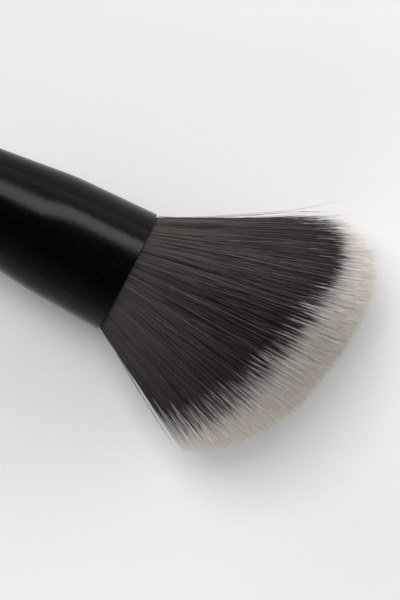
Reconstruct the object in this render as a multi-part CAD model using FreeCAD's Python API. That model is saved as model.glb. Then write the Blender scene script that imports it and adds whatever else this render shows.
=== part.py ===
import FreeCAD, Part
import math
import os

# An angled blush brush, lying as it rests on a table. Sizes are in millimetres and degrees.
# Each piece is drawn along the brush's own axis, X, with the ferrule's mouth at X = 0, the hair
# ahead of it and the handle behind it. Y runs across the flat head, towards its long side.

# Ferrule: a thin metal tube that opens in two cones from its neck to its mouth
mouth_radius = 9.0
ferrule_wall = 0.4
flare_angle = 2.25
flare_length = 12.3
bend_radius = 47.0
waist_angle = 7.3
neck_radius = 6.5
neck_length = 6.0

# Hair: the part inside the ferrule, then a fan that ends in an angled dome
root_depth = 12.0
hair_clearance = 0.05
crown_length = 30.8
slant_angle = 12.3
long_rim_length = 20.4
short_rim_length = 14.2
flat_rim_length = 25.8
long_side_angle = 27.0
short_side_angle = 28.6
belly_angle = 16.7
belly_radius = 60.0
long_shoulder = 11.0
short_shoulder = 7.9
flat_shoulder = 2.8
crown_reach_across = 12.2
crown_reach_through = 5.4

# Locks: the ridges that the fibres gather in
lock_count = 32
lock_depth = 0.7
lock_depth_variation = 0.35
lock_width_variation = 0.3
depth_rhythm = 3.7
width_rhythm = 5.3
belly_flat_depth = 0.45

# Glue: the cured plug behind the hair's root
glue_length = 4.0

# Handle: turned wood, with a tenon inside the ferrule's neck
tenon_length = 12.0
tenon_clearance = 0.05
tenon_chamfer = 0.6
shoulder_radius = 6.75
shoulder_chamfer = 0.4
swell_radius = 7.1
swell_distance = 18.0
swell_blend = 250.0
handle_length = 109.0
tail_radius = 3.0

axis_start = FreeCAD.Vector(0, 0, 0)
axis_direction = FreeCAD.Vector(1, 0, 0)
full_turn = 360
slight_taper = 1.0
touching = 0.000001
full_circle = 2 * math.pi

os.makedirs("parts", exist_ok=True)


def point(x, y, z=0.0):
    return FreeCAD.Vector(x, y, z)


def outline(corners):
    """The edges of straight runs joined by tangent arcs. A corner is its station, radius and round."""
    places = [point(corner[0], corner[1]) for corner in corners]
    edges = []
    start = places[0]
    for index in range(1, len(corners) - 1):
        corner = places[index]
        rounding = corners[index][2]
        finish = corner
        if rounding > 0:
            back = (places[index - 1] - corner).normalize()
            ahead = (places[index + 1] - corner).normalize()
            half_angle = back.getAngle(ahead) / 2
            reach = rounding / math.tan(half_angle)
            middle = (back + ahead).normalize() * (rounding / math.sin(half_angle) - rounding)
            finish = corner + ahead * reach
            edges.append(Part.makeLine(start, corner + back * reach))
            edges.append(Part.Arc(corner + back * reach, corner + middle, finish).toShape())
        else:
            edges.append(Part.makeLine(start, corner))
        start = finish
    if not start.isEqual(places[-1], touching):
        edges.append(Part.makeLine(start, places[-1]))
    return edges


def ring(place):
    return Part.Circle(point(place.x, 0), axis_direction, place.y).toShape()


def spun(edges):
    """The solid that closed edges make round the axis. A slight taper is ruled between its two rings."""
    faces = []
    for edge in edges:
        first = edge.Vertexes[0].Point
        last = edge.Vertexes[-1].Point
        straight = isinstance(edge.Curve, Part.Line) and first.x != last.x and first.y != last.y
        if straight and abs(first.y - last.y) < slight_taper:
            faces.append(Part.makeRuledSurface(ring(first), ring(last)))
        else:
            faces.append(edge.revolve(axis_start, axis_direction, full_turn))
    return Part.Solid(Part.makeShell(faces))


# The ferrule's corners, from the mouth to its end on the handle
bend_station = -flare_length
bend_corner_radius = mouth_radius - flare_length * math.tan(math.radians(flare_angle))
waist_length = (bend_corner_radius - neck_radius) / math.tan(math.radians(waist_angle))
neck_station = bend_station - waist_length
ferrule_end = neck_station - neck_length
ferrule_corners = [
    (0, mouth_radius),
    (bend_station, bend_corner_radius),
    (neck_station, neck_radius),
    (ferrule_end, neck_radius)]


def inside_corners(back, front, clearance):
    """The ferrule's inner wall between two stations, from front to back, with a clearance from the wall."""
    corners = []
    for (station, radius), (next_station, next_radius) in zip(ferrule_corners, ferrule_corners[1:]):
        low = max(back, next_station)
        high = min(front, station)
        if low > high:
            continue
        slope = (radius - next_radius) / (station - next_station)
        for place in (high, low):
            corner = (place, next_radius + slope * (place - next_station) - ferrule_wall - clearance)
            if corner not in corners:
                corners.append(corner)
    return corners


def make_ferrule():
    """A sheet of even thickness, with its bend rounded on the outside."""
    roundings = [0, bend_radius, 0, 0]
    outer = [(station, radius, rounding) for (station, radius), rounding in zip(ferrule_corners, roundings)]
    inner = [(station, radius, 0) for station, radius in reversed(inside_corners(ferrule_end, 0, 0))]
    return spun(outline(outer + inner + outer[:1]))


root_station = -root_depth
glue_station = root_station - glue_length


def make_glue_plug():
    wall = [(station, radius, 0) for station, radius in inside_corners(glue_station, root_station, 0)]
    return spun(outline([(root_station, 0, 0)] + wall + [(glue_station, 0, 0)]))


# The handle's taper runs into a ball at its tail
tail_station = ferrule_end - handle_length
handle_slope = math.atan2(swell_radius - tail_radius, handle_length - swell_distance)
ball_radius = tail_radius * math.tan((math.pi / 2 + handle_slope) / 2)
ball_station = tail_station + ball_radius


def make_handle():
    """The tenon is glued into the ferrule's neck, and the shoulder butts on the ferrule's end."""
    tenon_station = ferrule_end + tenon_length
    tenon_radius = neck_radius - ferrule_wall - tenon_clearance
    return spun(outline([
        (tenon_station, 0, 0),
        (tenon_station, tenon_radius - tenon_chamfer, 0),
        (tenon_station - tenon_chamfer, tenon_radius, 0),
        (ferrule_end, tenon_radius, 0),
        (ferrule_end, shoulder_radius - shoulder_chamfer, 0),
        (ferrule_end - shoulder_chamfer, shoulder_radius, 0),
        (ferrule_end - swell_distance, swell_radius, swell_blend),
        (tail_station, tail_radius, ball_radius),
        (tail_station, 0, 0)]))


# The fan's shape: how far it spreads to each side, and through its thickness, as it leaves the mouth
root_radius = inside_corners(root_station, 0, hair_clearance)[0][1]
root_end_radius = inside_corners(root_station, 0, hair_clearance)[-1][1]
long_spread = math.tan(math.radians(long_side_angle))
short_spread = math.tan(math.radians(short_side_angle))
belly_spread = math.tan(math.radians(belly_angle))
crown = point(crown_length, 0)
head_middle = point(crown_length / 2, 0)


def between_sides(across, long_value, flat_value, short_value):
    """A value that runs smoothly round the head, given at its long side, its flats and its short side."""
    lean = (long_value - short_value) / 2
    bulge = (long_value + short_value) / 2 - flat_value
    return flat_value + lean * across + bulge * across ** 2


def side_spread(across):
    return (long_spread + short_spread) / 2 + across * (long_spread - short_spread) / 2


def fan_point(across, through, length):
    half_width = root_radius + side_spread(across) * length
    half_thickness = root_radius + belly_spread * length - length ** 2 / (2 * belly_radius)
    return point(length, across * half_width, through * half_thickness)


def fan_direction(across, through, length):
    return point(1, across * side_spread(across), through * (belly_spread - length / belly_radius))


def bezier(poles):
    curve = Part.BezierCurve()
    curve.setPoles(poles)
    return curve.toShape()


def lock_line(turn, depth):
    """Three edges along the hair: inside the ferrule, out along the fan, and over the dome to its crown."""
    across = math.cos(turn)
    through = math.sin(turn)
    root_end = point(root_station, across * root_end_radius, through * root_end_radius)
    rim_length = between_sides(across, long_rim_length, flat_rim_length, short_rim_length)
    shoulder = between_sides(across, long_shoulder, flat_shoulder, short_shoulder)
    mouth = fan_point(across, through, 0)
    rim = fan_point(across, through, rim_length)
    sink = (head_middle - rim).normalize() * depth
    slant = math.tan(math.radians(slant_angle))
    reach_across = across * crown_reach_across
    reach = point(reach_across * slant, reach_across, through * crown_reach_through)
    root = Part.makeLine(root_end, mouth)
    fan_middle = mouth + fan_direction(across, through, 0) * (rim_length / 2)
    fan = bezier([mouth, fan_middle + sink, rim + sink])
    leaving = rim + fan_direction(across, through, rim_length) * shoulder
    dome = bezier([rim + sink, leaving + sink, crown + reach + sink / 2, crown])
    return root, fan, dome


def make_hair_tuft():
    """Each lock is a pair of ruled flanks between its crest and the valleys beside it."""
    line_count = 2 * lock_count
    lines = []
    for index in range(line_count):
        turn = full_circle * (index + lock_width_variation * math.sin(width_rhythm * index)) / line_count
        depth = lock_depth * (index % 2) * (1 + lock_depth_variation * math.sin(depth_rhythm * index))
        lines.append(lock_line(turn, depth))
    flanks = []
    for line, neighbour in zip(lines, lines[1:] + lines[:1]):
        flanks += [Part.makeRuledSurface(edge, other) for edge, other in zip(line, neighbour)]
    root_corners = [line[0].Vertexes[0].Point for line in lines]
    root_face = Part.Face(Part.makePolygon(root_corners + root_corners[:1]))
    return Part.Solid(Part.makeShell(flanks + [root_face]))


def rest_tilt():
    """How far the head tips up as the brush lies on the flattened belly of its hair and on its tail."""
    belly_station = belly_radius * belly_spread
    length = belly_station - ball_station
    thickness = fan_point(0, 1, belly_station).z
    drop = belly_flat_depth + ball_radius
    return math.atan2(thickness, length) - math.asin(drop / math.hypot(length, thickness))


def laid_down(shape):
    """Tips the brush and lifts it until the ball of its tail stands on the table, which is at Z = 0."""
    tilt = rest_tilt()
    laid = shape.copy()
    laid.rotate(axis_start, point(0, -1), math.degrees(tilt))
    laid.translate(point(0, 0, ball_radius - ball_station * math.sin(tilt)))
    return laid


def flattened(tuft):
    """The table presses a flat spot into the belly of the hair."""
    reach = tuft.BoundBox
    corner = point(reach.XMin, reach.YMin, reach.ZMin)
    below_table = Part.makeBox(reach.XLength, reach.YLength, -reach.ZMin, corner)
    return tuft.cut(below_table).Solids[0]


pieces = {
    "ferrule": laid_down(make_ferrule()),
    "glue_plug": laid_down(make_glue_plug()),
    "handle": laid_down(make_handle()),
    "hair_tuft": flattened(laid_down(make_hair_tuft()))}

# The origin is on the table, under the middle of the whole brush
middle = Part.makeCompound(list(pieces.values())).optimalBoundingBox(False).Center
for name, shape in pieces.items():
    shape.translate(point(-middle.x, -middle.y))
    shape.exportStep("parts/" + name + ".step")
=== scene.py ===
import math
import bpy
import numpy as np
from mathutils import Matrix, Vector, kdtree


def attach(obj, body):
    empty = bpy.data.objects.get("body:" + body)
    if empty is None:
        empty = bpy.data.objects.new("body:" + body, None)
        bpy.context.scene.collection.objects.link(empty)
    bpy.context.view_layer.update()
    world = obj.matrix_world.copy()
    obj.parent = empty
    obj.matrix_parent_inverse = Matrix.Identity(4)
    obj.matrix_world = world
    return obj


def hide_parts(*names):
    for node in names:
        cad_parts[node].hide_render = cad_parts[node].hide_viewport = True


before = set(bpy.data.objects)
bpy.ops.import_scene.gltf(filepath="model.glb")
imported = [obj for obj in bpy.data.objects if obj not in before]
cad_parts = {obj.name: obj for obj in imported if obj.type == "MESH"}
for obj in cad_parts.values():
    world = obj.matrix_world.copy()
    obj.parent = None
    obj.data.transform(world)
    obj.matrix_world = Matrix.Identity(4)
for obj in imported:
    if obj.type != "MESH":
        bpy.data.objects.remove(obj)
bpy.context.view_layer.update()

mm = 0.001
fullTurn = 2 * math.pi
tiny = 1e-6
chance = np.random.default_rng(11)

# where the brush lies: the middle of the ferrule's mouth in mm, and how far the head tips up
brush = {
    "mouth": (55.527, -1.450, 9.915),
    "tilt": math.radians(2.776),
}
mouthPlace = Vector(brush["mouth"]) * mm
brushMatrix = (Matrix.Translation(mouthPlace)
               @ Matrix.Rotation(-brush["tilt"], 4, "Y") @ Matrix.Scale(mm, 4))


def newMaterial(name):
    material = bpy.data.materials.new(name)
    material.use_nodes = True
    material.node_tree.nodes.clear()
    return material


class Nodes:
    # adds and links nodes in one tree, a column at a time
    columnWidth = 200

    def __init__(self, tree):
        self.tree = tree
        self.column = 0

    def add(self, kind, inputs=None, **settings):
        node = self.tree.nodes.new(kind)
        node.location = (self.column * self.columnWidth, 0)
        self.column += 1
        for key, value in settings.items():
            setattr(node, key, value)
        for key, value in (inputs or {}).items():
            if isinstance(value, bpy.types.NodeSocket):
                self.tree.links.new(value, node.inputs[key])
            else:
                node.inputs[key].default_value = value
        return node

    def math(self, operation, *values):
        return self.add("ShaderNodeMath", dict(enumerate(values)), operation=operation).outputs[0]

    def mixColor(self, factor, first, second):
        node = self.add("ShaderNodeMix", {"Factor": factor, 6: first, 7: second}, data_type="RGBA")
        return node.outputs[2]

    def mixValue(self, factor, first, second):
        node = self.add("ShaderNodeMix", {"Factor": factor, 2: first, 3: second}, data_type="FLOAT")
        return node.outputs[0]

    def remap(self, value, fromRange=(0.0, 1.0), toRange=(0.0, 1.0)):
        node = self.add("ShaderNodeMapRange", {
            "Value": value, "From Min": fromRange[0], "From Max": fromRange[1],
            "To Min": toRange[0], "To Max": toRange[1]})
        return node.outputs[0]

    def ramp(self, factor, stops):
        node = self.add("ShaderNodeValToRGB", {"Fac": factor})
        elements = node.color_ramp.elements
        while len(elements) < len(stops):
            elements.new(1.0)
        for element, (place, color) in zip(elements, stops):
            element.position = place
            element.color = color
        return node.outputs["Color"]

    def noise(self, place, scale, detail):
        node = self.add("ShaderNodeTexNoise", {"Vector": place, "Scale": scale, "Detail": detail})
        return node.outputs["Fac"]

    def bump(self, height, strength, distance):
        node = self.add("ShaderNodeBump", {"Height": height, "Strength": strength, "Distance": distance})
        return node.outputs[0]

    def surface(self, inputs):
        shader = self.add("ShaderNodeBsdfPrincipled", inputs)
        self.add("ShaderNodeOutputMaterial", {"Surface": shader.outputs[0]})


# hair shape: a station is a distance in mm from the mouth, across runs from -1 on the short side
# to 1 on the long side, and through runs from -1 at the table to 1 on top
fan = {
    "rootRadius": 8.5,
    "longSpread": math.tan(math.radians(26.2)),
    "shortSpread": math.tan(math.radians(28.6)),
    "bellySpread": 0.30,
    "bellyRadius": 60.0,
    "crown": 31.65,
    "slant": 4.05,
    "longDrop": 11.7,         # how far the cut falls back at its sides, at its top and at the table
    "shortDrop": 9.4,
    "flatDrop": 4.9,
    "flatFade": 1.2,
}


def fanPoints(across, through, station):
    evenSpread = (fan["longSpread"] + fan["shortSpread"]) / 2
    sideSpread = evenSpread + across * (fan["longSpread"] - fan["shortSpread"]) / 2
    halfWidth = fan["rootRadius"] + sideSpread * station
    bend = station ** 2 / (2 * fan["bellyRadius"])
    halfThickness = fan["rootRadius"] + fan["bellySpread"] * station - bend
    return np.stack([station, across * halfWidth, through * halfThickness], axis=-1)


def tipStation(across, through):
    # the cut's outline seen from above, less its dome through the thickness
    side = np.clip(1 - across ** 2, tiny, 1)
    sideDrop = np.where(across > 0, fan["longDrop"] * across ** 3, fan["shortDrop"] * across ** 2)
    outline = fan["crown"] + fan["slant"] * across - sideDrop
    deep = np.clip(through ** 2 / side, 0, 1)
    return outline - fan["flatDrop"] * side ** fan["flatFade"] * (1 - np.sqrt(1 - deep))


def rise(value, start, end):
    # 0 before the start, 1 past the end and smooth between them
    share = np.clip((value - start) / (end - start), 0, 1)
    return share * share * (3 - 2 * share)


# lengths and widths in mm; an "Across" pair says where across the head an effect begins and is full
hair = {
    "strands": 34000,
    "surfaceStrands": 4200,
    "surfaceShare": 0.98,     # the dense layer at the surface lies between these shares of the radius
    "outermost": 0.995,
    "shellDepth": 0.80,       # strands further out than this are modelled from the mouth
    "piecesOfEach": 3,        # the strands are shared out over this many outer and inner pieces
    "outerSteps": 6,
    "innerSteps": 3,
    "stepCurve": 0.85,        # below 1, the steps get shorter towards the tips
    "firstStation": -1.2,     # where they begin, inside the ferrule
    "innerLength": 10.0,
    "floorGap": 0.02,

    "width": 0.075,
    "widthShares": (0.75, 1.2),
    "tipWidth": 0.022,
    "taper": 6.0,             # length over which they thin out towards their tips
    "taperCurve": 0.7,

    "disorder": 0.6,          # 0 plants them as evenly as the seeds of a sunflower
    "clumps": 6000,
    "clumpPull": 0.18,
    "locks": 420,
    "lockPull": 0.03,
    "pullFrom": 0.4,          # share of the length from which clumps and locks draw together
    "crossing": 0.045,        # how far the strands change places between the mouth and the tips
    "crossingEnd": 0.9,
    "stray": 0.009,           # how far they lean out of line
    "wildShare": 0.03,        # a few strands stray more than the rest
    "wildStray": 3.0,
    "wave": 0.05,
    "waveLengths": (9, 18),
    "waveStart": 4.0,         # stations over which the waves grow to their full height

    "unevenEnds": 0.3,        # how far the tips miss the cut, and how much shorter some end
    "shortEnds": 0.3,
    "cornerUneven": 1.1,      # the long side's corner ends in a looser edge, a little further out
    "cornerReach": 0.1,
    "cornerAcross": (0.4, 0.9),

    "paleLength": 5.0,
    "longSidePale": -3.75,    # added on the long side, where the pale tips are shorter
    "longPaleAcross": (0.35, 0.75),
    "clumpPale": 0.3,
    "lockPale": 0.15,
    "strandPale": 3.06,
    "shortSideMixing": 0.9,   # how much more mixed the two tones are on the short side
    "mixingAcross": (0.2, 0.7),
    "lateShare": 0.4,         # these strands turn pale only near their tip
    "lateLengths": (0.2, 0.75),
    "shortSideLate": 0.08,
    "lateAcross": (0.1, 0.5),
    "earlyShare": 0.018,      # these strands turn pale early
    "earlyLength": 0.9,
    "earlyAcross": (0.0, 0.4),
    "paleLimits": (0.5, 6.9),

    # painted light: the middle, long side and short side tones make the sides of the head lighter where
    # the light falls on them
    "middleShadedTone": 0.26,       # how light the strands are, from 0 to 1
    "longSideLitTone": 0.84,
    "shortSideLitTone": 0.48,
    "sideLightAcross": (0.15, 0.75),
    "toneRange": 0.84,
    "toneLimits": (0.02, 0.98),
    "neighbours": 10,         # strands that share out light and dark among them
    "paleMap": 0.75,          # where on the strand's map its pale tip begins
    "mapStart": -2.0,
    "mapWidth": 0.0015,
}

goldenAngle = math.pi * (3 - math.sqrt(5))
nearestBatch = 2000
tubeSides = 3


def discPoints(count):
    # evenly spread over the disc, like seeds in a sunflower, with some disorder
    index = np.arange(count) + 0.5
    radius = np.sqrt(index / count)
    seeds = radius * np.array([np.cos(index * goldenAngle), np.sin(index * goldenAngle)])
    spacing = hair["disorder"] * math.sqrt(math.pi / count)
    seeds += chance.normal(0, spacing, (2, count))
    return seeds / np.maximum(np.hypot(*seeds), 1)


def surfacePoints(count):
    # a dense layer at the tuft's surface, where every strand shows
    angle = (np.arange(count) + chance.uniform(0, 1, count)) * fullTurn / count
    depth = hair["outermost"] - hair["surfaceShare"]
    radius = hair["surfaceShare"] + depth * chance.uniform(0, 1, count)
    return radius * np.array([np.cos(angle), np.sin(angle)])


def nearestGroup(places, groups):
    # the clump or lock whose middle is nearest to each strand
    found = np.zeros(places.shape[1], dtype=int)
    for start in range(0, len(found), nearestBatch):
        part = slice(start, start + nearestBatch)
        gap = (places[0, part, None] - groups[0]) ** 2 + (places[1, part, None] - groups[1]) ** 2
        found[part] = gap.argmin(axis=1)
    return found


def evenShares(places):
    # three shares from 0 to 1 for each strand, in any order but never alike over a whole patch
    count = places.shape[1]
    tree = kdtree.KDTree(count)
    for index, (across, through) in enumerate(places.T):
        tree.insert((across, through, 0), index)
    tree.balance()
    around = []
    for across, through in places.T:
        close = tree.find_n((across, through, 0), hair["neighbours"])
        around.append([found[1] for found in close])
    shares = []
    for turn in range(3):
        wild = chance.normal(0, 1, count)
        order = np.argsort(np.argsort(wild - wild[around].mean(axis=1)))
        shares.append((order + 0.5) / count)
    return shares


def strandLines(places, clumpMiddles, lockMiddles, first, steps):
    # the middle line of each strand, with its clump's pull, its own lean and its wave
    count = places.shape[1]
    corner = rise(places[0], *hair["cornerAcross"])
    uneven = hair["unevenEnds"] * (1 + hair["cornerUneven"] * corner)
    last = (tipStation(*places) + hair["cornerReach"] * corner + chance.normal(0, 1, count) * uneven
            - chance.exponential(hair["shortEnds"], count))
    share = np.linspace(0, 1, steps + 1) ** hair["stepCurve"]
    station = first[:, None] + (last - first)[:, None] * share
    along = np.clip(station / last[:, None], 0, 1)

    pull = rise(along, hair["pullFrom"], 1)
    crossing = hair["crossing"] * (1 - rise(along, 0, hair["crossingEnd"]))
    moved = places[..., None]
    moved = moved + (clumpMiddles[..., None] - moved) * hair["clumpPull"] * pull
    moved = moved + (lockMiddles[..., None] - moved) * hair["lockPull"] * pull
    moved = moved + chance.normal(0, 1, (2, count, 1)) * crossing
    across, through = moved * np.minimum(1.0, hair["outermost"] / np.maximum(np.hypot(*moved), tiny))

    wild = np.where(chance.uniform(0, 1, count) < hair["wildShare"], hair["wildStray"], 1.0)
    lean = chance.normal(0, hair["stray"], (2, count)) * wild
    phase = chance.uniform(0, fullTurn, (2, count, 1))
    waveLength = chance.uniform(*hair["waveLengths"], (count, 1))
    ahead = np.clip(station, 0, None)
    sway = hair["wave"] * rise(ahead, 0, hair["waveStart"]) * np.sin(ahead / waveLength * fullTurn + phase)
    aside = lean[..., None] * ahead + sway
    lines = fanPoints(across, through, station)
    lines[..., 1] += aside[0]
    lines[..., 2] += aside[1]
    return lines, last


def keepOffFloor(lines, radii):
    # the table presses the lowest strands flat
    tilt = brush["tilt"]
    height = brush["mouth"][2] + lines[..., 0] * math.sin(tilt) + lines[..., 2] * math.cos(tilt)
    lines[..., 2] += np.maximum(0.0, radii + hair["floorGap"] - height)
    return lines


def strandRadii(station, last, width):
    left = np.clip((last[:, None] - station) / hair["taper"], 0, 1)
    return (hair["tipWidth"] + (width[:, None] - hair["tipWidth"]) * left ** hair["taperCurve"]) / 2


def strandMap(station, last, pale):
    # the dark length and the pale tip fill the same parts of the map, however long the strand is
    edge = (last - pale)[:, None]
    dark = np.clip((station - hair["mapStart"]) / (edge - hair["mapStart"]), 0, 1)
    light = np.clip((station - edge) / pale[:, None], 0, 1)
    return hair["paleMap"] * dark + (1 - hair["paleMap"]) * light


def placeObject(name, mesh):
    mesh.transform(brushMatrix)
    item = bpy.data.objects.new(name, mesh)
    bpy.context.collection.objects.link(item)
    return item


def tubeFaces(rings):
    # one strand's faces, and the ring and the corner that each of their points lies on
    faces, places = [], []
    lastRing = rings - 2
    for ring in range(lastRing + 1):
        for corner in range(tubeSides):
            here = ring * tubeSides + corner
            follow = ring * tubeSides + (corner + 1) % tubeSides
            places += [(ring, corner), (ring, corner + 1)]
            if ring < lastRing:
                faces.append((here, follow, follow + tubeSides, here + tubeSides))
                places += [(ring + 1, corner + 1), (ring + 1, corner)]
            else:
                faces.append((here, follow, (lastRing + 1) * tubeSides))
                places.append((ring + 1, corner + 0.5))
    return faces, places


def strandMesh(name, lines, radii, along, tone):
    # three-sided tapered tubes that end in a point; the map runs root to tip by strand tone
    count, rings = lines.shape[:2]
    forward = np.gradient(lines, axis=1)
    forward /= np.linalg.norm(forward, axis=2, keepdims=True)
    side = np.cross(forward, np.array([0.0, 0.0, 1.0]))
    side /= np.linalg.norm(side, axis=2, keepdims=True)
    other = np.cross(forward, side)
    turn = chance.uniform(0, fullTurn, (count, 1, 1))
    corners = []
    for index in range(tubeSides):
        angle = turn + index * fullTurn / tubeSides
        corners.append(lines + radii[..., None] * (np.cos(angle) * side + np.sin(angle) * other))
    body = np.stack(corners, axis=2)[:, :-1].reshape(count, -1, 3)
    vertices = np.concatenate([body, lines[:, -1:]], axis=1)

    faces, places = tubeFaces(rings)
    ringOf, cornerOf = np.array(places).T
    mapU = along[:, ringOf.astype(int)]
    mapV = tone[:, None] + cornerOf * hair["mapWidth"]
    corners = np.concatenate(faces)
    loops = (np.arange(count)[:, None] * vertices.shape[1] + corners).ravel()
    starts = np.cumsum([0] + [len(face) for face in faces])[:-1]
    starts = (np.arange(count)[:, None] * len(corners) + starts).ravel()

    mesh = bpy.data.meshes.new(name)
    mesh.vertices.add(vertices.shape[0] * vertices.shape[1])
    mesh.vertices.foreach_set("co", vertices.ravel())
    mesh.loops.add(len(loops))
    mesh.loops.foreach_set("vertex_index", loops.astype(np.int32))
    mesh.polygons.add(len(starts))
    mesh.polygons.foreach_set("loop_start", starts.astype(np.int32))
    mesh.update(calc_edges=True)
    mesh.validate()
    layer = mesh.uv_layers.new(name="OFBake")
    layer.data.foreach_set("uv", np.stack([mapU, mapV], axis=-1).ravel())
    mesh.polygons.foreach_set("use_smooth", np.zeros(len(starts), dtype=bool))
    return placeObject(name, mesh)


def paleLengths(across, shift, paleShare, oddShare):
    # how long each strand's pale tip is
    mixing = 1 + hair["shortSideMixing"] * rise(-across, *hair["mixingAcross"])
    pale = (hair["paleLength"] + hair["longSidePale"] * rise(across, *hair["longPaleAcross"])
            + shift + (paleShare - 0.5) * hair["strandPale"] * mixing)
    late = hair["lateShare"] + hair["shortSideLate"] * rise(-across, *hair["lateAcross"])
    pale = np.where(oddShare < late, pale * chance.uniform(*hair["lateLengths"], len(across)), pale)
    early = hair["earlyShare"] * (1 - rise(across, *hair["earlyAcross"]))
    longer = pale + chance.exponential(hair["earlyLength"], len(across))
    pale = np.where(oddShare > 1 - early, longer, pale)
    return np.clip(pale, *hair["paleLimits"])


def strandTonesWithSideLight(across, toneShare):
    # painted light: darkest in the middle and lightest on the long side, as the light falls on the sides
    # of the head, with each strand's own tone spread round that
    longSideLight = (hair["longSideLitTone"] - hair["middleShadedTone"]) * rise(across, *hair["sideLightAcross"])
    shortSideLight = (hair["shortSideLitTone"] - hair["middleShadedTone"]) * rise(-across, *hair["sideLightAcross"])
    tone = hair["middleShadedTone"] + longSideLight + shortSideLight + (toneShare - 0.5) * hair["toneRange"]
    return np.clip(tone, *hair["toneLimits"])


def makeHair():
    inner = discPoints(hair["strands"]) * hair["surfaceShare"]
    places = np.concatenate([inner, surfacePoints(hair["surfaceStrands"])], axis=1)
    locks = discPoints(hair["locks"])
    clumps = discPoints(hair["clumps"])
    lockOf = nearestGroup(places, locks)
    clumpOf = nearestGroup(places, clumps)
    lockShift = chance.normal(0, hair["lockPale"], hair["locks"])
    clumpShift = chance.normal(0, hair["clumpPale"], hair["clumps"])
    paleShare, oddShare, toneShare = evenShares(places)
    pale = paleLengths(places[0], lockShift[lockOf] + clumpShift[clumpOf], paleShare, oddShare)
    tone = strandTonesWithSideLight(places[0], toneShare)
    width = hair["width"] * chance.uniform(*hair["widthShares"], len(tone))

    shell = np.hypot(*places) > hair["shellDepth"]
    pieces = []
    for label, chosen, steps in (("outerHair", shell, hair["outerSteps"]),
                                 ("innerHair", ~shell, hair["innerSteps"])):
        order = np.flatnonzero(chosen)
        for group in range(hair["piecesOfEach"]):
            pick = order[group::hair["piecesOfEach"]]
            first = np.full(len(pick), hair["firstStation"])
            if label == "innerHair":
                first = tipStation(*places[:, pick]) - hair["innerLength"]
            lines, last = strandLines(places[:, pick], clumps[:, clumpOf[pick]], locks[:, lockOf[pick]],
                                      first, steps)
            station = lines[..., 0]
            radii = strandRadii(station, last, width[pick])
            along = strandMap(station, last, pale[pick])
            lines = keepOffFloor(lines, radii)
            pieces.append(strandMesh(label + str(group + 1), lines, radii, along, tone[pick]))
    return pieces


looseHair = {
    "count": 150,
    "points": 10,
    "width": 0.055,
    "longSideShare": 0.85,    # share of them that stands along the long side
    "spreadRound": 0.25,      # how far round the head those spread, in radians
    "depth": 0.985,
    "lengths": (0.8, 1.0),    # as shares of the head's own length
    "lift": 0.035,            # how far they stand off, which grows towards their tips
    "liftLength": 26.0,
    "shortSideLift": 0.1,     # share of the lift that the short side has
    "paleLengths": (1.5, 4.5),
    "tones": (0.3, 0.9),
}


def liftedLines(angle, depth, station, lift):
    # lines along the head's surface that stand off it by the lift
    outX, outY = np.cos(angle)[:, None], np.sin(angle)[:, None]
    lines = fanPoints(outX * depth, outY * depth, station)
    lines[..., 1] += lift * outX
    lines[..., 2] += lift * outY
    return lines


def makeLooseHair():
    # hairs that stand off the outline, most of them along the long side
    count = looseHair["count"]
    depth = looseHair["depth"]
    onLongSide = chance.uniform(0, 1, count) < looseHair["longSideShare"]
    longSideAngle = chance.normal(0, looseHair["spreadRound"], count)
    angle = np.where(onLongSide, longSideAngle, chance.uniform(0, fullTurn, count))
    last = tipStation(np.cos(angle) * depth, np.sin(angle) * depth)
    last = last * chance.uniform(*looseHair["lengths"], count)
    first = hair["firstStation"]
    station = first + (last - first)[:, None] * np.linspace(0, 1, looseHair["points"])
    spread = looseHair["lift"] * np.where(np.cos(angle) < 0, looseHair["shortSideLift"], 1)
    ahead = np.clip(station, 0, None)
    lift = np.abs(chance.normal(0, spread, count))[:, None] * ahead ** 2 / looseHair["liftLength"]
    lines = liftedLines(angle, depth, station, lift)
    radii = strandRadii(station, last, np.full(count, looseHair["width"]))
    pale = chance.uniform(*looseHair["paleLengths"], count)
    tone = chance.uniform(*looseHair["tones"], count)
    along = strandMap(station, last, pale)
    return strandMesh("looseHair", keepOffFloor(lines, radii), radii, along, tone)


brokenHair = {
    "count": 520,
    "points": 9,
    "width": 0.055,
    "spreadRound": 0.3,
    "depth": 0.97,
    "reach": 20.0,            # they stand along this length of the long side, in mm
    "reachShares": (0.1, 1),
    "crowding": 0.6,          # below 1, more of them stand towards the corner
    "setBack": 1.0,           # moves them all towards the ferrule, in mm
    "lengths": (2.0, 6.0),
    "lift": 0.05,
    "lean": 0.05,
    "curl": 0.13,
    "curlLengths": (2.0, 4.5),
    "mapStart": 0.2,          # the part of a strand's colours that they show
    "mapLength": 0.4,
    "mapShift": 0.1,
    "tones": (0.3, 0.98),
}


def makeBrokenHair():
    # short broken hairs that fray the long side, more of them towards its corner
    count = brokenHair["count"]
    angle = chance.normal(0, brokenHair["spreadRound"], count)
    spot = chance.uniform(*brokenHair["reachShares"], count) ** brokenHair["crowding"]
    first = brokenHair["reach"] * spot - brokenHair["setBack"]
    length = chance.uniform(*brokenHair["lengths"], count)
    share = np.linspace(0, 1, brokenHair["points"])
    ahead = length[:, None] * share
    station = first[:, None] + ahead
    lift = np.abs(chance.normal(0, brokenHair["lift"], count))[:, None] * ahead
    lean = chance.normal(0, brokenHair["lean"], (2, count, 1)) * ahead
    curl = chance.normal(0, brokenHair["curl"], (count, 1)) * np.minimum(ahead, 1)
    curl = curl * np.sin(ahead / chance.uniform(*brokenHair["curlLengths"], (count, 1)) * fullTurn)
    lines = liftedLines(angle, brokenHair["depth"], station, lift)
    lines[..., 1] += lean[0] + curl
    lines[..., 2] += lean[1]
    radii = strandRadii(station, first + length, np.full(count, brokenHair["width"]))
    along = brokenHair["mapStart"] + brokenHair["mapLength"] * share
    along = along + chance.uniform(0, brokenHair["mapShift"], (count, 1))
    tone = chance.uniform(*brokenHair["tones"], count)
    return strandMesh("brokenHair", lines, radii, along, tone)


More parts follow.
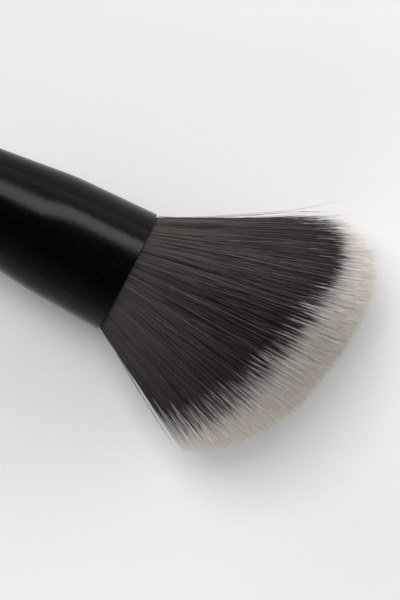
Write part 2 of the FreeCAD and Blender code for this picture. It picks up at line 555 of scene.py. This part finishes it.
longLooseHair = {
    "points": 14,
    "width": 0.044,
    "smoothing": 3,
    "climb": 0.04,
    "paleLength": 4.0,
    "tones": (0.4, 0.5, 0.6),
    # each one's stations and distances from the middle in mm, on the long side
    "paths": (
        ((0.0, 8.3), (6.3, 11.9), (12.5, 15.7), (18.2, 19.2), (21.2, 22.0), (23.3, 24.0)),
        ((0.0, 8.3), (7.2, 12.2), (12.8, 15.6), (18.2, 19.1), (21.0, 20.4), (23.3, 21.4)),
        ((0.0, 8.3), (7.9, 12.7), (13.0, 15.8), (17.0, 18.3), (20.2, 20.2), (22.6, 20.6)),
    ),
}


def makeLongLooseHair():
    # the few long hairs that stick out furthest
    lines = []
    for path in longLooseHair["paths"]:
        stations, sides = np.array(path).T
        x = np.linspace(hair["firstStation"], stations[-1], longLooseHair["points"])
        y = np.interp(x, stations, sides)
        for turn in range(longLooseHair["smoothing"]):
            y[1:-1] = (y[:-2] + 2 * y[1:-1] + y[2:]) / 4
        lines.append(np.stack([x, y, longLooseHair["climb"] * np.clip(x, 0, None)], axis=1))
    lines = np.array(lines)
    station = lines[..., 0]
    last = station[:, -1]
    radii = strandRadii(station, last, np.full(len(lines), longLooseHair["width"]))
    along = strandMap(station, last, np.full(len(lines), longLooseHair["paleLength"]))
    return strandMesh("longLooseHair", lines, radii, along, np.array(longLooseHair["tones"]))


heart = {
    "share": 0.87,            # of the head's radius
    "depth": 3.6,             # how far behind the tips it ends, in mm
    "sides": 96,
    "rings": 26,
    "paleRings": 2,           # rings next to the cap that are pale like the cap
}


def makeHeart():
    # the dense middle of the tuft, which closes the gaps between the strands; its body is painted shade,
    # darker than the strands, and its cap is pale like the tips
    sides, rings = heart["sides"], heart["rings"]
    angle = np.linspace(0, fullTurn, sides, endpoint=False)
    across, through = np.cos(angle) * heart["share"], np.sin(angle) * heart["share"]
    first = hair["firstStation"]
    end = tipStation(across, through) - heart["depth"]
    rows = []
    for share in np.linspace(0, 1, rings):
        rows.append(fanPoints(across, through, first + (end - first) * share))
    for share in np.linspace(1, 0, rings)[1:-1]:
        station = tipStation(across * share, through * share) - heart["depth"]
        rows.append(fanPoints(across * share, through * share, station))
    crown = tipStation(np.zeros(1), np.zeros(1))[0] - heart["depth"]
    vertices = np.concatenate(rows + [np.array([[crown, 0, 0], [first, 0, 0]])])
    crownPoint, rootPoint = len(vertices) - 2, len(vertices) - 1

    faces, pale = [], []
    for row in range(len(rows) - 1):
        near, far = row * sides, (row + 1) * sides
        for index in range(sides):
            follow = (index + 1) % sides
            faces.append((near + index, near + follow, far + follow, far + index))
            pale.append(int(row >= rings - 1 - heart["paleRings"]))
    top = (len(rows) - 1) * sides
    for index in range(sides):
        follow = (index + 1) % sides
        faces.append((top + index, top + follow, crownPoint))
        faces.append((follow, index, rootPoint))
        pale += [1, 0]
    mesh = bpy.data.meshes.new("hairHeart")
    mesh.from_pydata(vertices.tolist(), [], faces)
    mesh.polygons.foreach_set("material_index", pale)
    mesh.polygons.foreach_set("use_smooth", np.ones(len(faces), dtype=bool))
    return placeObject("hairHeart", mesh)


hairColor = {
    # along a strand, from its root to its tip, with the change from dark to pale at about 0.75; the dark
    # part is lighter near the root, partly the fibre's own colour and partly painted light where the
    # fibres by the mouth catch the light
    "stops": (
        (0.0, (0.042, 0.0345, 0.032, 1)),
        (0.35, (0.030, 0.0245, 0.0225, 1)),
        (0.68, (0.021, 0.015, 0.017, 1)),
        (0.74, (0.021, 0.015, 0.017, 1)),
        (0.79, (0.475, 0.452, 0.455, 1)),
        (0.9, (0.89, 0.83, 0.757, 1)),
        (1.0, (0.97, 0.9, 0.79, 1)),
    ),
    # how bright the darkest and the lightest strands are at the root, along the length and at the tip
    "rootTones": (0.7, 1.14),
    "lengthTones": (0.35, 2.35),
    "paleTones": (0.44, 1.08),
    "lengthFrom": (0.05, 0.35),
    "paleFrom": (0.74, 0.82),
    # the lightest strands are a little whiter at their tips: painted light on the long side, where the
    # strand tones are lit lightest, and each strand's own tone elsewhere
    "whiterTip": (0.85, 0.825, 0.782, 1),
    "whiterTipTones": (0.5, 0.95),
    "whiterTipShare": (0.0, 0.7),
    "whiterTipFrom": (0.78, 0.9),
    "roughness": (0.52, 0.7),
    "shine": 0.4,
}


def makeHairMaterial():
    material = newMaterial("two-tone fibre")
    nodes = Nodes(material.node_tree)
    place = nodes.add("ShaderNodeUVMap", uv_map="OFBake")
    split = nodes.add("ShaderNodeSeparateXYZ", {0: place.outputs[0]})
    along, strandTone = split.outputs[0], split.outputs[1]
    color = nodes.ramp(along, hairColor["stops"])
    # whiter tips for the lightest strands: partly painted light on the long side
    whiter = nodes.remap(strandTone, hairColor["whiterTipTones"], hairColor["whiterTipShare"])
    atTip = nodes.remap(along, hairColor["whiterTipFrom"])
    color = nodes.mixColor(nodes.math("MULTIPLY", whiter, atTip), color, hairColor["whiterTip"])

    # the strand tone carries painted light, lighter on the sides of the head, besides each strand's own
    # tone
    rootTone = nodes.remap(strandTone, toRange=hairColor["rootTones"])
    lengthTone = nodes.remap(strandTone, toRange=hairColor["lengthTones"])
    paleTone = nodes.remap(strandTone, toRange=hairColor["paleTones"])
    tone = nodes.mixValue(nodes.remap(along, hairColor["lengthFrom"]), rootTone, lengthTone)
    tone = nodes.mixValue(nodes.remap(along, hairColor["paleFrom"]), tone, paleTone)
    shade = nodes.add("ShaderNodeVectorMath", {0: color, 3: tone}, operation="SCALE")
    rough = nodes.remap(strandTone, toRange=hairColor["roughness"])
    nodes.surface({
        "Base Color": shade.outputs[0], "Roughness": rough, "Specular IOR Level": hairColor["shine"]})
    return material


heartColor = {
    # painted shade: the dark body is darker than the strands' own colour, for the shade deep in the tuft
    "dark": ((0.3, (0.008, 0.007, 0.007, 1)), (0.7, (0.03, 0.026, 0.025, 1))),
    "pale": ((0.3, (0.6, 0.56, 0.5, 1)), (0.7, (0.9, 0.85, 0.77, 1))),
    "grain": (120, 4000, 4000),   # fine across the hair and long along it
    "detail": 3.0,
    "roughness": 0.75,
    "shine": 0.1,
    "bump": 0.6,
    "bumpHeight": 0.1 * mm,
}


def makeHeartMaterial(name, stops):
    material = newMaterial(name)
    nodes = Nodes(material.node_tree)
    place = nodes.add("ShaderNodeTexCoord").outputs["Object"]
    stretch = nodes.add("ShaderNodeMapping", {"Vector": place, "Scale": heartColor["grain"]})
    noise = nodes.noise(stretch.outputs[0], 1.0, heartColor["detail"])
    nodes.surface({
        "Base Color": nodes.ramp(noise, stops), "Roughness": heartColor["roughness"],
        "Specular IOR Level": heartColor["shine"],
        "Normal": nodes.bump(noise, heartColor["bump"], heartColor["bumpHeight"])})
    return material


hairMaterial = makeHairMaterial()
pieces = makeHair() + [makeLooseHair(), makeBrokenHair(), makeLongLooseHair()]
for piece in pieces:
    piece.data.materials.append(hairMaterial)
hairHeart = makeHeart()
hairHeart.data.materials.append(makeHeartMaterial("shaded dark fibre", heartColor["dark"]))
hairHeart.data.materials.append(makeHeartMaterial("shaded pale fibre", heartColor["pale"]))
for piece in pieces + [hairHeart]:
    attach(piece, "root")
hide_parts("hair_tuft")
print("hair:", {piece.name: len(piece.data.polygons) for piece in pieces + [hairHeart]})


# black lacquer on the ferrule and the handle; a larger scale is a finer pattern
lacquer = {
    "color": (0.0013, 0.0009, 0.0008, 1),
    "roughness": {"ferrule": 0.19, "handle": 0.14},
    "shine": 0.09,
    "cloudScale": 260.0,
    "cloudDetail": 4.0,
    "cloudFrom": (0.3, 0.7),
    "cloudRoughness": (-0.03, 0.03),
    "peelScale": 1500.0,
    "peelDetail": 2.0,
    "orangePeel": 0.04,
    "peelHeight": 0.2 * mm,
    "dustColor": (0.009, 0.008, 0.008, 1),
    "dustScale": 4200.0,
    "dustDetail": 1.0,
    "dustFrom": (0.66, 0.76),
    "dustShare": (0.0, 0.7),
    "dustRoughness": 0.2,
}


def makeLacquerGroup():
    # slight unevenness of a sprayed and baked black lacquer, with a little fine dust
    group = bpy.data.node_groups.new("lacquer wear", "ShaderNodeTree")
    for way, name, kind in (("INPUT", "Color", "NodeSocketColor"),
                            ("INPUT", "Dust Color", "NodeSocketColor"),
                            ("INPUT", "Roughness", "NodeSocketFloat"),
                            ("OUTPUT", "Color", "NodeSocketColor"),
                            ("OUTPUT", "Roughness", "NodeSocketFloat"),
                            ("OUTPUT", "Height", "NodeSocketFloat")):
        group.interface.new_socket(name, in_out=way, socket_type=kind)
    nodes = Nodes(group)
    given = nodes.add("NodeGroupInput")
    place = nodes.add("ShaderNodeTexCoord").outputs["Object"]
    cloud = nodes.noise(place, lacquer["cloudScale"], lacquer["cloudDetail"])
    peel = nodes.noise(place, lacquer["peelScale"], lacquer["peelDetail"])
    specks = nodes.noise(place, lacquer["dustScale"], lacquer["dustDetail"])
    dust = nodes.remap(specks, lacquer["dustFrom"], lacquer["dustShare"])
    color = nodes.mixColor(dust, given.outputs["Color"], given.outputs["Dust Color"])
    change = nodes.remap(cloud, lacquer["cloudFrom"], lacquer["cloudRoughness"])
    rough = nodes.math("ADD", given.outputs["Roughness"], change)
    rough = nodes.math("MULTIPLY_ADD", dust, lacquer["dustRoughness"], rough)
    nodes.add("NodeGroupOutput", {"Color": color, "Roughness": rough, "Height": peel})
    return group


def makeLacquer(name, roughness, group):
    material = newMaterial(name)
    nodes = Nodes(material.node_tree)
    wear = nodes.add("ShaderNodeGroup", node_tree=group)
    wear.inputs["Color"].default_value = lacquer["color"]
    wear.inputs["Dust Color"].default_value = lacquer["dustColor"]
    wear.inputs["Roughness"].default_value = roughness
    nodes.surface({
        "Base Color": wear.outputs["Color"], "Roughness": wear.outputs["Roughness"],
        "Specular IOR Level": lacquer["shine"],
        "Normal": nodes.bump(wear.outputs["Height"], lacquer["orangePeel"], lacquer["peelHeight"])})
    return material


wearGroup = makeLacquerGroup()
for node, roughness in lacquer["roughness"].items():
    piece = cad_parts[node]
    piece.data.materials.clear()
    piece.data.materials.append(makeLacquer("black " + node + " lacquer", roughness, wearGroup))
print("lacquer done")


table = {
    "color": (0.86, 0.86, 0.865, 1),
    "patchColor": (0.8514, 0.8514, 0.85635, 1),
    "halfSize": 2.5,
    "drop": 0.01 * mm,        # keeps its top just clear of the brush
    "grain": 600.0,
    "grainDetail": 3.0,
    "roughness": 0.9,
    "bump": 0.03,
    "bumpHeight": 0.2 * mm,
}


def makeFloor():
    mesh = bpy.data.meshes.new("table")
    size = table["halfSize"]
    corners = [(-size, -size, 0), (size, -size, 0), (size, size, 0), (-size, size, 0)]
    mesh.from_pydata(corners, [], [(0, 1, 2, 3)])
    floor = bpy.data.objects.new("table", mesh)
    floor.location.z = -table["drop"]
    bpy.context.collection.objects.link(floor)
    material = newMaterial("matt table")
    nodes = Nodes(material.node_tree)
    place = nodes.add("ShaderNodeTexCoord")
    noise = nodes.noise(place.outputs["Object"], table["grain"], table["grainDetail"])
    nodes.surface({
        "Base Color": nodes.mixColor(noise, table["color"], table["patchColor"]),
        "Roughness": table["roughness"], "Specular IOR Level": 0.0,
        "Normal": nodes.bump(noise, table["bump"], table["bumpHeight"])})
    mesh.materials.append(material)


# lamps stand round the ferrule's mouth: their side seen from above, their angle from straight up
# and their own turn are in degrees, their sizes and distance in metres and their power in watts
studio = {
    "lampDistance": 0.9,
    "softbox": {"size": (0.5, 0.5), "side": 153, "angle": 25, "turn": 0, "power": 5.0},
    "strip": {"size": (0.26, 0.7), "side": 110, "angle": 43, "turn": -56, "power": 5.4},
    "reflector": {"size": (1.1, 0.4), "angle": 72, "turn": 0},
    "reflectorPowers": {30: 5.0, 60: 2.1, 90: 1.2, 150: 4.7, 270: 4.8},
    "worldLight": 0.05,
    # what the lacquer mirrors: pale walls low round the table and a dark ceiling
    "horizonGloss": 1.33,
    "zenithGloss": 0.03,
    "backGloss": 0.52,
    "glossHeights": (0.05, 0.78),
}


def makeLamp(name, size, side, angle, turn, power):
    side, angle, turn = math.radians(side), math.radians(angle), math.radians(turn)
    light = bpy.data.lights.new(name, "AREA")
    light.shape = "RECTANGLE"
    light.size, light.size_y = size
    light.energy = power
    item = bpy.data.objects.new(name, light)
    away = Vector((math.cos(side) * math.sin(angle), math.sin(side) * math.sin(angle), math.cos(angle)))
    item.location = Vector((mouthPlace.x, 0, 0)) + away * studio["lampDistance"]
    aim = (-away).to_track_quat("-Z", "Y").to_matrix().to_4x4() @ Matrix.Rotation(turn, 4, "Z")
    item.rotation_euler = aim.to_euler()
    bpy.context.collection.objects.link(item)
    return item


def makeLights():
    softbox = makeLamp("softbox", **studio["softbox"])
    softbox.visible_glossy = False
    strip = makeLamp("strip light", **studio["strip"])
    strip.visible_diffuse = False
    for side, power in studio["reflectorPowers"].items():
        reflector = makeLamp("reflector", side=side, power=power, **studio["reflector"])
        reflector.visible_glossy = False

    world = bpy.data.worlds.new("studio")
    bpy.context.scene.world = world
    world.use_nodes = True
    world.node_tree.nodes.clear()
    nodes = Nodes(world.node_tree)
    path = nodes.add("ShaderNodeLightPath")
    place = nodes.add("ShaderNodeTexCoord")
    split = nodes.add("ShaderNodeSeparateXYZ", {0: place.outputs["Generated"]})
    height = nodes.remap(split.outputs[2], studio["glossHeights"],
                         (studio["horizonGloss"], studio["zenithGloss"]))
    back = nodes.math("MULTIPLY_ADD", split.outputs[1], studio["backGloss"], 1.0)
    gloss = nodes.math("MULTIPLY", height, back)
    strength = nodes.mixValue(path.outputs["Is Glossy Ray"], studio["worldLight"], gloss)
    light = nodes.add("ShaderNodeBackground", {"Color": (1, 1, 1, 1), "Strength": strength})
    nodes.add("ShaderNodeOutputWorld", {"Surface": light.outputs[0]})


view = {
    "picture": (400, 600),
    "mmPerPixel": 0.1393,
    "mouthPixel": (127.0, 271.6),
    "distance": 0.55,
    "lean": math.radians(6.0),       # towards the handle
    "turn": math.radians(27.5),      # the brush's axis below the picture's horizontal
    "sensor": 36,
    "clip": (0.01, 20),
}


def makeCamera():
    camera = bpy.data.cameras.new("camera")
    item = bpy.data.objects.new("camera", camera)
    lean, turn, pixel = view["lean"], view["turn"], view["mmPerPixel"] * mm
    toCamera = Vector((-math.sin(lean), 0, math.cos(lean)))
    along = Vector((math.cos(lean), 0, math.sin(lean)))
    across = Vector((0, 1, 0))
    right = along * math.cos(turn) + across * math.sin(turn)
    up = across * math.cos(turn) - along * math.sin(turn)
    mouthRight = (view["mouthPixel"][0] - view["picture"][0] / 2) * pixel
    mouthUp = (view["picture"][1] / 2 - view["mouthPixel"][1]) * pixel
    place = mouthPlace + toCamera * view["distance"] - right * mouthRight - up * mouthUp
    item.matrix_world = Matrix.Translation(place) @ Matrix((right, up, toCamera)).transposed().to_4x4()
    camera.sensor_width = view["sensor"]
    camera.lens = view["sensor"] * view["distance"] / (view["picture"][1] * pixel)
    camera.clip_start, camera.clip_end = view["clip"]
    bpy.context.collection.objects.link(item)
    bpy.context.scene.camera = item


makeFloor()
makeLights()
makeCamera()
bpy.context.scene.view_settings.view_transform = "Standard"
print("studio done")
